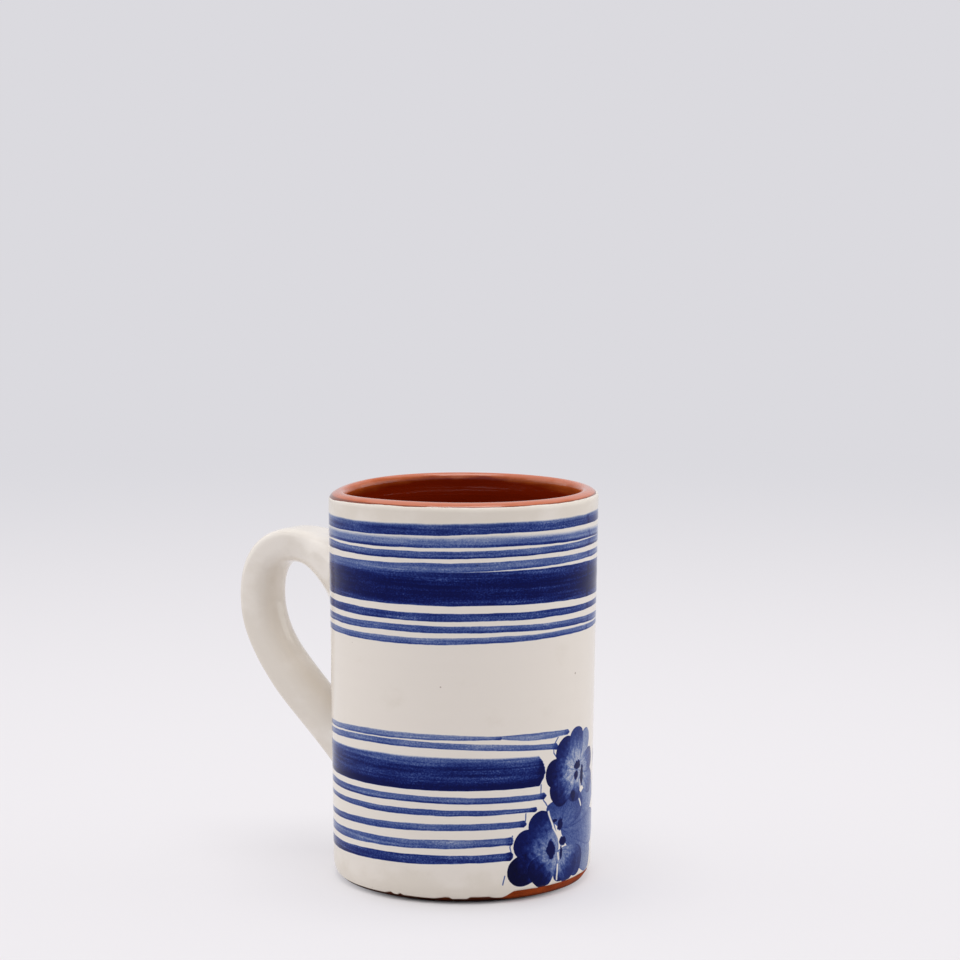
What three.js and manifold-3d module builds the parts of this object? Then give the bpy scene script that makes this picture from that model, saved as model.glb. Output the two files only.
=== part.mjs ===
// A wheel-thrown terracotta mug with a pulled strap handle.
// Millimetres, +Z up. The origin is the centre of the flat base and the handle points along -X.
// Angles are in degrees.

import * as THREE from "three";
import { mergeVertices } from "three/addons/utils/BufferGeometryUtils.js";
import Module from "manifold-3d";

// Thrown cup
const CUP_HEIGHT = 116.8; // table to the crest of the lip
const WALL_RADIUS_LOW = 38.3; // clay outside, carried down to the table
const WALL_RADIUS_HIGH = 39.8; // clay outside, carried up to the crest
const WALL_AT_LIP = 4.9; // a thrown wall is thinner at the lip
const WALL_AT_FLOOR = 5.8; // and thicker where it leaves the floor
const FLOOR = 7; // clay under the drink
const FLOOR_CORNER = 9; // inside fillet that the throwing finger leaves
const FOOT_INSET = 3.2; // the trimmed lower edge stands this far in from the wall
const FOOT_ROUND = 5; // height of that rounded edge
const LIP_OUTER_DROP = 2.4; // height of the round shoulder outside the crest
const LIP_INNER_DROP = 2.4; // height of the tighter round inside the crest
const LIP_CREST_INSET = 1.5; // the crest stands this far out from the inner face

// Coats on the clay
const WHITE_COAT = 0.4;
const INNER_GLAZE = 0.25;
const COAT_BELOW_CREST = 1; // the white stops on the lip's shoulder
const COAT_ABOVE_TABLE = 1.4; // and leaves a bare clay foot

// Handle strap, on its centre line
const JOIN_LENGTH = 6; // from the wall to the flat faces where the strap butts on the joins
const UPPER_FACE_DROP = 25; // from the lip down to the centre of the strap's upper end
const UPPER_RISE = 28; // the strap leaves the upper join climbing at this angle
const UPPER_PULL = 15; // how far that climb carries before the bend
const HANDLE_REACH = 31.8; // from the wall to the strap's centre line where it is farthest out
const REACH_DROP = 37.8; // from the lip down to that farthest point
const CROWN_PULL = 16.5; // fullness of the bend above the farthest point
const SWEEP_PULL = 14; // fullness of the bend below it
const LOWER_FACE_HEIGHT = 40.4; // from the table up to the centre of the strap's lower end
const LOWER_FALL = 42; // the strap comes down to the lower join at this angle
const LOWER_PULL = 21; // how far it runs at that angle

// Strap sections: deep is measured in the handle's plane, square to the strap, and wide across it
const CROWN_DEEP = 11;
const REACH_DEEP = 11.2;
const TAIL_DEEP = 12.2;
const STRAP_WIDE = 14.8;
const SECTION_POWER = 2.7; // 2 is an ellipse, more is squarer

// The strap swells towards its ends
const UPPER_ROOT_DEEP = 18.4;
const UPPER_ROOT_WIDE = 18.5;
const UPPER_ROOT_SHARE = 0.2; // share of the strap's length that the swelling takes
const LOWER_ROOT_DEEP = 12.6;
const LOWER_ROOT_WIDE = 17;
const LOWER_ROOT_SHARE = 0.15;
const SWELL_POWER = 3; // more gathers the swelling nearer the end

// Flared feet of the joins, where they meet the wall
const UPPER_FOOT_DROP = 36.8; // from the lip down to the centre of the upper flare
const UPPER_FOOT_DEEP = 46;
const UPPER_FOOT_WIDE = 34;
const LOWER_FOOT_HEIGHT = 33; // from the table up to the centre of the lower flare
const LOWER_FOOT_DEEP = 34;
const LOWER_FOOT_WIDE = 27;
const FLARE_POWER = 1.6; // more keeps the strap's section for longer before it spreads
const SEAT_DEPTH = 4; // how far the flare is carried into the wall before it is cut to fit

const SEAT_GAP = 0.3; // clearance round each join, at the clay and at the coat

// Finishes
const CLAY = { color: "#9a5230", roughness: 0.8 };
const GLAZED_CLAY = { color: "#8a3a1e", roughness: 0.15 };
const GLAZED_WHITE = { color: "#ded5cc", roughness: 0.15 };

// Fineness
const AROUND = 64; // facets round the cup
const ARC_STEPS = 4; // points on each rounded edge
const SECTION_POINTS = 20; // points round the strap
const STRAP_STEPS = 26; // sections along the strap
const FLARE_STEPS = 6; // sections along a join
const WELD = 1e-4; // points nearer than this are one point

const wasm = await Module();
wasm.setup();

const { degToRad, lerp } = THREE.MathUtils;
const point = (x, y) => new THREE.Vector2(x, y);

const wallOutside = (z) => lerp(WALL_RADIUS_LOW, WALL_RADIUS_HIGH, z / CUP_HEIGHT);
const wallInside = (z) => wallOutside(z) - lerp(WALL_AT_FLOOR, WALL_AT_LIP, z / CUP_HEIGHT);

// Points on an ellipse about a centre, both end angles included.
function arc(centre, radiusX, radiusY, fromAngle, toAngle) {
  const points = [];
  for (let i = 0; i <= ARC_STEPS; i++) {
    const angle = degToRad(lerp(fromAngle, toAngle, i / ARC_STEPS));
    points.push(point(centre.x + radiusX * Math.cos(angle), centre.y + radiusY * Math.sin(angle)));
  }
  return points;
}

// Half section of the cup, from the middle of the base, up the outside and back down the inside.
// It comes in three stretches: the bare foot, the part under the white coat and the glazed part.
function cupSection() {
  const footCentre = point(wallOutside(FOOT_ROUND) - FOOT_INSET, FOOT_ROUND);
  const coatFootAngle = -THREE.MathUtils.radToDeg(Math.asin(1 - COAT_ABOVE_TABLE / FOOT_ROUND));
  const lipHeight = CUP_HEIGHT - LIP_OUTER_DROP;
  const crest = wallInside(CUP_HEIGHT - LIP_INNER_DROP) + LIP_CREST_INSET;
  const shoulder = wallOutside(lipHeight) - crest;
  const coatLipAngle = THREE.MathUtils.radToDeg(Math.asin(1 - COAT_BELOW_CREST / LIP_OUTER_DROP));
  const innerLip = point(crest, CUP_HEIGHT - LIP_INNER_DROP);
  const cornerTop = FLOOR + FLOOR_CORNER;
  const corner = point(wallInside(cornerTop) - FLOOR_CORNER, cornerTop);

  const bare = [point(0, 0), ...arc(footCentre, FOOT_INSET, FOOT_ROUND, -90, coatFootAngle)];
  const coated = [
    ...arc(footCentre, FOOT_INSET, FOOT_ROUND, coatFootAngle, 0),
    ...arc(point(crest, lipHeight), shoulder, LIP_OUTER_DROP, 0, coatLipAngle),
  ];
  const glazed = [
    ...arc(point(crest, lipHeight), shoulder, LIP_OUTER_DROP, coatLipAngle, 90),
    ...arc(innerLip, LIP_CREST_INSET, LIP_INNER_DROP, 90, 180).slice(1),
    ...arc(corner, FLOOR_CORNER, FLOOR_CORNER, 0, -90),
    point(0, FLOOR),
  ];
  return { bare, coated, glazed };
}

// Outward direction at each point of an outline that runs anticlockwise round the clay.
function outwards(outline) {
  const last = outline.length - 1;
  return outline.map((here, i) => {
    const before = outline[Math.max(i - 1, 0)];
    const after = outline[Math.min(i + 1, last)];
    const into = here.clone().sub(before).normalize();
    const away = after.clone().sub(here).normalize();
    const along = into.add(away).normalize();
    return point(along.y, -along.x);
  });
}

// The outline of a coat: back along the clay's own line, then out again one thickness away.
function coatOutline(outline, normals, first, count, thickness) {
  const under = outline.slice(first, first + count);
  const over = under.map((here, i) => here.clone().addScaledVector(normals[first + i], thickness));
  return [...under.reverse(), ...over];
}

function revolve(outline) {
  const geometry = new THREE.LatheGeometry(outline, AROUND);
  geometry.rotateX(Math.PI / 2);
  return geometry;
}

// A closed skin over a row of rings, each with the same number of points, with a fan on each end.
function loft(rings) {
  const count = rings[0].length;
  const middle = (ring) => {
    const sum = new THREE.Vector3();
    ring.forEach((corner) => sum.add(corner));
    return sum.divideScalar(count);
  };
  const corners = [...rings.flat(), middle(rings[0]), middle(rings.at(-1))];
  const firstHub = rings.length * count;
  const lastHub = firstHub + 1;
  const lastRing = (rings.length - 1) * count;
  const triangles = [];
  for (let j = 0; j < count; j++) {
    const next = (j + 1) % count;
    for (let i = 0; i + 1 < rings.length; i++) {
      const near = i * count;
      const far = near + count;
      triangles.push(near + j, near + next, far + next);
      triangles.push(near + j, far + next, far + j);
    }
    triangles.push(firstHub, next, j);
    triangles.push(lastHub, lastRing + j, lastRing + next);
  }
  const geometry = new THREE.BufferGeometry();
  geometry.setFromPoints(corners);
  geometry.setIndex(triangles);
  return geometry;
}

// One rounded section of the handle. "out" and "up" place its centre in the handle's plane,
// and lean is the direction, in that plane, of its depth.
function section({ out, up, lean, deep, wide }) {
  const ring = [];
  const rounded = (value) => Math.sign(value) * Math.abs(value) ** (2 / SECTION_POWER);
  for (let j = 0; j < SECTION_POINTS; j++) {
    const angle = (2 * Math.PI * j) / SECTION_POINTS;
    const depth = (rounded(Math.cos(angle)) * deep) / 2;
    const across = (rounded(Math.sin(angle)) * wide) / 2;
    ring.push(new THREE.Vector3(-(out + lean.x * depth), across, up + lean.y * depth));
  }
  return ring;
}

const heading = (angle) => point(Math.cos(degToRad(angle)), Math.sin(degToRad(angle)));

// The strap's centre line in the handle's plane: over the crown, then down to the lower join.
function centreLine() {
  const offWall = (distance, height) => point(wallOutside(height) + distance, height);
  const upper = offWall(JOIN_LENGTH, CUP_HEIGHT - UPPER_FACE_DROP);
  const farthest = offWall(HANDLE_REACH, CUP_HEIGHT - REACH_DROP);
  const lower = offWall(JOIN_LENGTH, LOWER_FACE_HEIGHT);
  const line = new THREE.CurvePath();
  line.add(new THREE.CubicBezierCurve(
    upper,
    upper.clone().addScaledVector(heading(UPPER_RISE), UPPER_PULL),
    farthest.clone().add(point(0, CROWN_PULL)),
    farthest,
  ));
  line.add(new THREE.CubicBezierCurve(
    farthest,
    farthest.clone().sub(point(0, SWEEP_PULL)),
    lower.clone().addScaledVector(heading(LOWER_FALL), LOWER_PULL),
    lower,
  ));
  return line;
}

// A size that eases through its values at evenly spaced shares of the strap's length.
function along(share, values) {
  const place = share * (values.length - 1);
  const i = Math.min(Math.floor(place), values.length - 2);
  return lerp(values[i], values[i + 1], THREE.MathUtils.smoothstep(place - i, 0, 1));
}

// One station of the strap: where its section stands, which way it leans and how large it is.
function station(line, share) {
  const centre = line.getPointAt(share);
  const tangent = line.getTangentAt(share);
  const upper = Math.max(0, 1 - share / UPPER_ROOT_SHARE) ** SWELL_POWER;
  const lower = Math.max(0, 1 - (1 - share) / LOWER_ROOT_SHARE) ** SWELL_POWER;
  const plain = along(share, [CROWN_DEEP, CROWN_DEEP, REACH_DEEP, REACH_DEEP, TAIL_DEEP, TAIL_DEEP]);
  const thick = plain + upper * (UPPER_ROOT_DEEP - plain) + lower * (LOWER_ROOT_DEEP - plain);
  const upperWide = upper * (UPPER_ROOT_WIDE - STRAP_WIDE);
  const wide = STRAP_WIDE + upperWide + lower * (LOWER_ROOT_WIDE - STRAP_WIDE);
  // The end faces stand upright and the sections between them stand square to the centre line.
  // A section that leans away from square is longer, so that the strap keeps its thickness.
  const square = point(-tangent.y, tangent.x);
  const upright = point(0, Math.sign(square.y) * (upper + lower));
  const lean = square.clone().multiplyScalar(1 - upper - lower).add(upright).normalize();
  return { out: centre.x, up: centre.y, lean, deep: thick / lean.dot(square), wide };
}

// A join narrows from a wide foot inside the wall to the strap's end face. "grow" fattens it.
function flare(face, foot, grow) {
  const rings = [];
  const footOut = wallOutside(foot.up) - SEAT_DEPTH;
  for (let i = 0; i <= FLARE_STEPS; i++) {
    const share = i / FLARE_STEPS;
    const spread = (1 - share) ** FLARE_POWER;
    rings.push(section({
      out: lerp(footOut, face.out, share),
      up: lerp(face.up, foot.up, spread),
      lean: point(0, 1),
      deep: lerp(face.deep, foot.deep, spread) + 2 * grow,
      wide: lerp(face.wide, foot.wide, spread) + 2 * grow,
    }));
  }
  return loft(rings);
}

function solid(geometry) {
  const shape = geometry.clone();
  shape.deleteAttribute("normal");
  shape.deleteAttribute("uv");
  const welded = mergeVertices(shape, WELD);
  return new wasm.Manifold(new wasm.Mesh({
    numProp: 3,
    vertProperties: new Float32Array(welded.attributes.position.array),
    triVerts: new Uint32Array(welded.index.array),
  }));
}

function surface(body) {
  const mesh = body.getMesh();
  const geometry = new THREE.BufferGeometry();
  geometry.setAttribute("position", new THREE.BufferAttribute(new Float32Array(mesh.vertProperties), 3));
  geometry.setIndex(Array.from(mesh.triVerts));
  return geometry;
}

// Cup and coats
const { bare, coated, glazed } = cupSection();
const cupOutline = [...bare, ...coated.slice(1), ...glazed.slice(1)];
const cupNormals = outwards(cupOutline);
const coatStart = bare.length - 1;
const glazeStart = coatStart + coated.length - 1;
const coatLine = coatOutline(cupOutline, cupNormals, coatStart, coated.length, WHITE_COAT);
const glazeLine = coatOutline(cupOutline, cupNormals, glazeStart, glazed.length, INNER_GLAZE);

// Handle and joins
const line = centreLine();
const stations = [];
for (let i = 0; i <= STRAP_STEPS; i++) {
  stations.push(station(line, i / STRAP_STEPS));
}
const upperFace = stations[0];
const upperFoot = { up: CUP_HEIGHT - UPPER_FOOT_DROP, deep: UPPER_FOOT_DEEP, wide: UPPER_FOOT_WIDE };
const lowerFace = stations.at(-1);
const lowerFoot = { up: LOWER_FOOT_HEIGHT, deep: LOWER_FOOT_DEEP, wide: LOWER_FOOT_WIDE };

const wallBlock = solid(revolve([
  point(0, 0),
  point(wallOutside(0) + SEAT_GAP, 0),
  point(wallOutside(CUP_HEIGHT) + SEAT_GAP, CUP_HEIGHT),
  point(0, CUP_HEIGHT),
]));
const upperJoin = solid(flare(upperFace, upperFoot, 0)).subtract(wallBlock);
const lowerJoin = solid(flare(lowerFace, lowerFoot, 0)).subtract(wallBlock);
const whiteCoat = solid(revolve([...coatLine, coatLine[0]]))
  .subtract(solid(flare(upperFace, upperFoot, SEAT_GAP)))
  .subtract(solid(flare(lowerFace, lowerFoot, SEAT_GAP)));

const group = new THREE.Group();
group.name = "terracotta_mug";

function addPiece(name, geometry, finish) {
  const mesh = new THREE.Mesh(geometry, new THREE.MeshStandardMaterial(finish));
  mesh.name = name;
  group.add(mesh);
}

addPiece("thrown_cup", revolve(cupOutline), CLAY);
addPiece("inner_glaze", revolve(glazeLine), GLAZED_CLAY);
addPiece("white_coat", surface(whiteCoat), GLAZED_WHITE);
addPiece("handle", loft(stations.map(section)), GLAZED_WHITE);
addPiece("upper_handle_join", surface(upperJoin), GLAZED_WHITE);
addPiece("lower_handle_join", surface(lowerJoin), GLAZED_WHITE);

export default group;
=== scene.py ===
# %% [markdown]
# # A hand-painted terracotta mug
# The mug is thrown from red clay, dipped in white slip, given a pulled strap handle and painted with cobalt.
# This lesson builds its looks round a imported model: the frame is loaded first and is never moved or edited.
# Each later cell makes one piece or one finish, in metres, in the place of the solid that it stands for.

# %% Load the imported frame
import math

import bpy
from mathutils import Matrix, Vector


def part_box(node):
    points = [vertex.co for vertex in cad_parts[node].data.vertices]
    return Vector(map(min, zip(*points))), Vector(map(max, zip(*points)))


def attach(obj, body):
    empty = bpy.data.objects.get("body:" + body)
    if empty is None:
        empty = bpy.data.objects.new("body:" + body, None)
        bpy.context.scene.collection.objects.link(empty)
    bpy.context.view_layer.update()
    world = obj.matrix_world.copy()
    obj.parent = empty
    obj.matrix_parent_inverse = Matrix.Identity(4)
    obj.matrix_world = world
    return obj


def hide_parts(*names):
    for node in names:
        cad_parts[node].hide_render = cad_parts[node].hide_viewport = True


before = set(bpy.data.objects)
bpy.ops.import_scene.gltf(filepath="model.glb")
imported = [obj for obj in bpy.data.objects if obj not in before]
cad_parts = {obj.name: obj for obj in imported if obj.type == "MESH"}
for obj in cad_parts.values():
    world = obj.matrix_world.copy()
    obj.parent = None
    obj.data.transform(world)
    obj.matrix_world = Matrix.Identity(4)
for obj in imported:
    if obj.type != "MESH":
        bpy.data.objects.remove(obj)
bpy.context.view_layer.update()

scene = bpy.context.scene
print("solids in the frame:", ", ".join(sorted(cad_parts)))

# %% [markdown]
# ## The view
# The camera stands a little above the rim and looks at the side of the cup, with the handle on the left.
# A long lens far away keeps the upright lines nearly parallel, as in a shop picture.
# The view is written as plain numbers: which side, how far, how high, and how it tilts.

# %% Camera
IMAGE_WIDTH_MM = 36
CAMERA_SIDE = math.radians(30)
CAMERA_DISTANCE = 0.850
CAMERA_HEIGHT = 0.2225
CAMERA_DOWN = math.radians(6.953)
CAMERA_YAW = math.radians(0.328)
CAMERA_ROLL = math.radians(0.265)
LENS_MM = 108.16

camera_data = bpy.data.cameras.new("camera")
camera_data.sensor_width = IMAGE_WIDTH_MM
camera_data.lens = LENS_MM
camera = bpy.data.objects.new("camera", camera_data)
scene.collection.objects.link(camera)
camera.matrix_world = (
    Matrix.Translation((
        CAMERA_DISTANCE * math.sin(CAMERA_SIDE),
        -CAMERA_DISTANCE * math.cos(CAMERA_SIDE),
        CAMERA_HEIGHT,
    ))
    @ Matrix.Rotation(CAMERA_SIDE - CAMERA_YAW, 4, "Z")
    @ Matrix.Rotation(math.pi / 2 - CAMERA_DOWN, 4, "X")
    @ Matrix.Rotation(CAMERA_ROLL, 4, "Z")
)
scene.camera = camera
print("camera at", [round(value, 3) for value in camera.location])

# %% [markdown]
# ## Formulas as nodes
# Both the shapes and the painting follow rules, and a rule is easiest to read as a formula.
# A small class lets a node socket take part in ordinary arithmetic: each operation adds one Math node.
# It serves shape trees and material trees, because both know the Math node.

# %% Sockets that calculate
def plug(tree, value, slot):
    """Links a field into a slot, or writes a plain value there."""
    if isinstance(value, Field):
        tree.links.new(value.socket, slot)
    else:
        slot.default_value = value


def calculation(operation):
    """A method that adds one Math node for that operation."""
    return lambda field, other: field.math(operation, other)


class Field:
    """A node socket that can be added, multiplied and so on."""

    def __init__(self, tree, socket):
        self.tree = tree
        self.socket = socket

    def math(self, operation, *others):
        node = self.tree.nodes.new("ShaderNodeMath")
        node.operation = operation
        for value, slot in zip((self, *others), node.inputs):
            plug(self.tree, value, slot)
        return Field(self.tree, node.outputs[0])

    __add__ = __radd__ = calculation("ADD")
    __sub__ = calculation("SUBTRACT")
    __mul__ = __rmul__ = calculation("MULTIPLY")
    __truediv__ = calculation("DIVIDE")
    __pow__ = calculation("POWER")

    def __rsub__(self, other):
        return self * -1 + other


def rise(value, low, high):
    """0 below low, 1 above high and a smooth step between them."""
    node = value.tree.nodes.new("ShaderNodeMapRange")
    node.interpolation_type = "SMOOTHSTEP"
    for item, slot in zip((value, low, high), node.inputs):
        plug(value.tree, item, slot)
    return Field(value.tree, node.outputs[0])


def between(first, second, share):
    """Goes from the first value to the second one as share goes from 0 to 1, for fields and plain numbers."""
    return (second - first) * share + first


def vector(x, y, z):
    tree = next(item for item in (x, y, z) if isinstance(item, Field)).tree
    node = tree.nodes.new("ShaderNodeCombineXYZ")
    for value, slot in zip((x, y, z), node.inputs):
        plug(tree, value, slot)
    return Field(tree, node.outputs[0])


def parts(field):
    """The three numbers of a vector."""
    node = field.tree.nodes.new("ShaderNodeSeparateXYZ")
    plug(field.tree, field, node.inputs[0])
    return [Field(field.tree, socket) for socket in node.outputs]


def add_node(tree, kind, **links):
    """A node with its slots filled by name; spaces in a slot's name are written as underscores."""
    node = tree.nodes.new(kind)
    for label, value in links.items():
        plug(tree, value, node.inputs[label.replace("_", " ")])
    return node


def noise(place, detail):
    """Soft noise around zero, from about -1 to 1, one blotch per unit."""
    node = add_node(place.tree, "ShaderNodeTexNoise", Vector=place, Scale=1.0, Detail=detail)
    return Field(place.tree, node.outputs[0]) * 2 - 1


def floats(*labels):
    """Number inputs of those names for a node group."""
    return {label: "NodeSocketFloat" for label in labels}


def open_group(kind, name, inputs, output):
    """A new node group, its inputs as fields by name, and the slot that takes its result."""
    tree = bpy.data.node_groups.new(name, kind)
    for label, socket in inputs.items():
        tree.interface.new_socket(label, in_out="INPUT", socket_type=socket)
    result, result_socket = output
    tree.interface.new_socket(result, in_out="OUTPUT", socket_type=result_socket)
    start = tree.nodes.new("NodeGroupInput")
    fields = {label: Field(tree, start.outputs[label]) for label in inputs}
    return tree, fields, tree.nodes.new("NodeGroupOutput").inputs[0]


def close_group(tree, result, slot):
    """Links the result of a group to its way out."""
    plug(tree, result, slot)
    print("node group:", tree.name, "with", len(tree.nodes), "nodes")


print("formula helpers ready")

# %% [markdown]
# ## Sizes of the cup
# The wall is nearly straight and a little wider at the top, the foot is rounded and the lip leans inwards.
# The sizes are those of the solids in the frame, to some tenths of a millimetre, so the dressed pieces fit.

# %% Sizes of the cup, in metres
MM = 0.001
CUP_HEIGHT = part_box("thrown_cup")[1].z
RADIUS_AT_TABLE = 38.3 * MM
RADIUS_AT_RIM = 39.8 * MM
WALL_AT_TABLE = 5.8 * MM
WALL_AT_RIM = 4.9 * MM
FLOOR = 7 * MM
FLOOR_CORNER = 9 * MM
FOOT_INSET = 3.2 * MM
FOOT_ROUND = 5 * MM
LIP_OUTER_DROP = 2.2 * MM
LIP_INNER_DROP = 1.8 * MM
LIP_CREST_INSET = 1.5 * MM
WHITE_COAT = 0.4 * MM
INNER_GLAZE = 0.25 * MM


def wall_outside(height):
    return between(RADIUS_AT_TABLE, RADIUS_AT_RIM, height / CUP_HEIGHT)


def wall_inside(height):
    return wall_outside(height) - between(WALL_AT_TABLE, WALL_AT_RIM, height / CUP_HEIGHT)


print(f"cup {CUP_HEIGHT / MM:.1f} mm tall, {2 * wall_outside(CUP_HEIGHT) / MM:.1f} mm across the rim")

# %% [markdown]
# ## Red clay
# The clay shows bare at the foot and on the wire-cut underside: matt, grainy and darker in its pores.
# Noise on Object coordinates gives grains at their real size, and the same grain lifts the surface.
# Low down, near the table, the clay turns near black with painted shade, less high on the side opposite the
# handle, where the foot was wiped.

# %% Bare clay
CLAY_DARK = (0.14, 0.019, 0.003, 1)
CLAY_LIGHT = (0.42, 0.068, 0.009, 1)
CLAY_PAINTED_SHADE = (0.004, 0.001, 0.0005, 1)
PAINTED_SHADE_HEIGHT = 4.5
PAINTED_SHADE_HEIGHT_WIPED = 1.6
WIPED_TURN = math.radians(12)
WIPED_FROM = (19, 23)
CLAY_SHINE = 0.08


def new_finish(name):
    """A material, its tree, its shader and the surface position, as three fields in millimetres."""
    finish = bpy.data.materials.new(name)
    finish.use_nodes = True
    tree = finish.node_tree
    place = Field(tree, tree.nodes.new("ShaderNodeTexCoord").outputs["Object"])
    position = [part / MM for part in parts(place)]
    return finish, tree, tree.nodes["Principled BSDF"], position


def mottle(tree, share, dark, light, blend="MIX"):
    """A colour field from dark to light, each of which may be a field itself."""
    ramp = tree.nodes.new("ShaderNodeMix")
    ramp.data_type = "RGBA"
    ramp.blend_type = blend
    plug(tree, dark, ramp.inputs["A"])
    plug(tree, light, ramp.inputs["B"])
    plug(tree, share, ramp.inputs["Factor"])
    return Field(tree, ramp.outputs["Result"])


def set_surface(tree, shader, colour, roughness, shine, height, strength, depth_mm):
    """Gives a shader its look, and lifts the surface by a height field whose full swing has that depth."""
    plug(tree, colour, shader.inputs["Base Color"])
    plug(tree, roughness, shader.inputs["Roughness"])
    shader.inputs["Specular IOR Level"].default_value = shine
    bump = add_node(tree, "ShaderNodeBump", Strength=strength, Distance=depth_mm * MM, Height=height)
    tree.links.new(bump.outputs["Normal"], shader.inputs["Normal"])


def bare_clay():
    finish, tree, shader, (x, y, z) = new_finish("bare_clay")
    blotch = noise(vector(x / 6, y / 6, z / 3), 4)
    grain = noise(vector(x * 2.5, y * 2.5, z * 2.5), 3)
    turned = noise(vector((x * x + y * y) ** 0.5 / 0.8, z / 0.6, 0.0), 2)
    share = rise(blotch * 0.5 + grain * 0.5 + turned * 0.3, -0.6, 0.7)
    clay = mottle(tree, share, CLAY_DARK, CLAY_LIGHT)
    wiped = rise(x * math.cos(WIPED_TURN) + y * math.sin(WIPED_TURN), *WIPED_FROM)
    shade_height = between(PAINTED_SHADE_HEIGHT, PAINTED_SHADE_HEIGHT_WIPED, wiped)
    # Painted shade: below a height above the table the clay turns near black; that height is lower on the
    # wiped side.
    clay = mottle(tree, rise(z + grain * 0.3, 0.0, shade_height), CLAY_PAINTED_SHADE, clay)
    roughness = grain * 0.08 + 0.72
    set_surface(tree, shader, clay, roughness, CLAY_SHINE, grain * 0.6 + turned, strength=0.5, depth_mm=0.12)
    return finish


clay_finish = bare_clay()
print("finish:", clay_finish.name)

# %% [markdown]
# ## Clear glaze on the inside
# Inside and on the lip a clear glaze lies straight on the clay, so the red is wet. It is bright near the rim
# and dark
# below: partly the glaze's own colour, partly painted light near the rim and painted shade deeper in the cup.
# The glaze is thin on the crest of the lip, where the clay looks paler and a little pink; that pale is partly
# a painted highlight of the light from above. The height of the surface drives these changes. Slow noise adds
# clouds, and noise that is squeezed in height adds throwing lines. As painted light, the red reaches deeper
# on both sides of the picture than at its front and back.
# The outer edge of the glaze is a dark line.

# %% Clear glaze over red clay
GLAZED_CLAY_SHADED_DEEP = (0.20, 0.013, 0.001, 1)
GLAZED_CLAY_LIT_RED = (0.52, 0.11, 0.02, 1)
GLAZED_CLAY_PALE_SHEEN = (0.55, 0.17, 0.09, 1)
GLAZED_CLAY_EDGE = (0.13, 0.03, 0.012, 1)
LINING_SHINE = 0.38
CREST_BAND = 0.9
LIT_RED_BAND = (2.0, 6.0)
DARK_EDGE = (38.85, 39.25)
DARK_EDGE_SHARE = 0.8


def side_share(x, y, radius):
    """0 at the front and back of the picture, 1 on both sides of it."""
    side = (x * math.cos(CAMERA_SIDE) + y * math.sin(CAMERA_SIDE)) / radius
    return side * side


def clear_glaze():
    finish, tree, shader, (x, y, z) = new_finish("clear_glaze")
    under_crest = (z - CUP_HEIGHT / MM) * -1
    cloud = noise(vector(x / 9, y / 9, z / 3), 4)
    speck = noise(vector(x * 2, y * 2, z * 2), 2)
    rings = noise(vector(x / 25, y / 25, z / 0.7), 3)
    depth = under_crest + cloud * 1.3 + rings * 0.7 + speck * 0.2
    radius = (x * x + y * y) ** 0.5
    # Painted light and shade: the red near the rim reaches deeper on both sides of the view, and below it the
    # inside turns dark.
    lit_red_band = between(*LIT_RED_BAND, side_share(x, y, radius))
    deep = mottle(tree, rise(depth, 0.5, lit_red_band), GLAZED_CLAY_LIT_RED, GLAZED_CLAY_SHADED_DEEP)
    # The pale crest is thin glaze and partly a painted highlight of the light from above.
    lip = mottle(tree, rise(depth, CREST_BAND * 0.4, CREST_BAND * 1.6), GLAZED_CLAY_PALE_SHEEN, deep)
    lip = mottle(tree, rise(radius, *DARK_EDGE) * DARK_EDGE_SHARE, lip, GLAZED_CLAY_EDGE)
    roughness = speck * 0.02 + 0.05
    height = cloud * 0.5 + rings * 0.5 + speck * 0.25
    set_surface(tree, shader, lip, roughness, LINING_SHINE, height, strength=0.35, depth_mm=0.15)
    return finish


lining_finish = clear_glaze()
print("finish:", lining_finish.name)

# %% [markdown]
# ## White glaze and cobalt
# The white is slip under glaze: warm, glossy and not quite even, with a few specks where iron burnt through.
# It is thinner at the lip, at the foot and low on the handle, where it is warmer and a little darker.
# Cobalt works like a filter over the white: each extra layer takes out the same share of red, green and blue.
# So the painting is kept as one number, how much cobalt lies at a place, and the colour follows from it.

# %% White glaze
WHITE = (0.808, 0.752, 0.672, 1)
WHITE_THIN = (0.75, 0.69, 0.60, 1)
SPECK_BROWN = (0.22, 0.13, 0.085, 1)
COBALT_TAKES = (1.0, 0.79, 0.345)
PAINTED_SHINE = 0.08
WHITE_SHINE = 0.5
HANDLE_THINNER = (1.1, 0.4)
THICKER_AT_CROWN = (60, 95)
THIN_AT_LIP = (103, 114)
THIN_AT_FOOT = (2, 18)
SPECK_SPACING = 8.0
SPECK_SHARE = 0.3
SPECK_STRENGTH = 0.55


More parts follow.
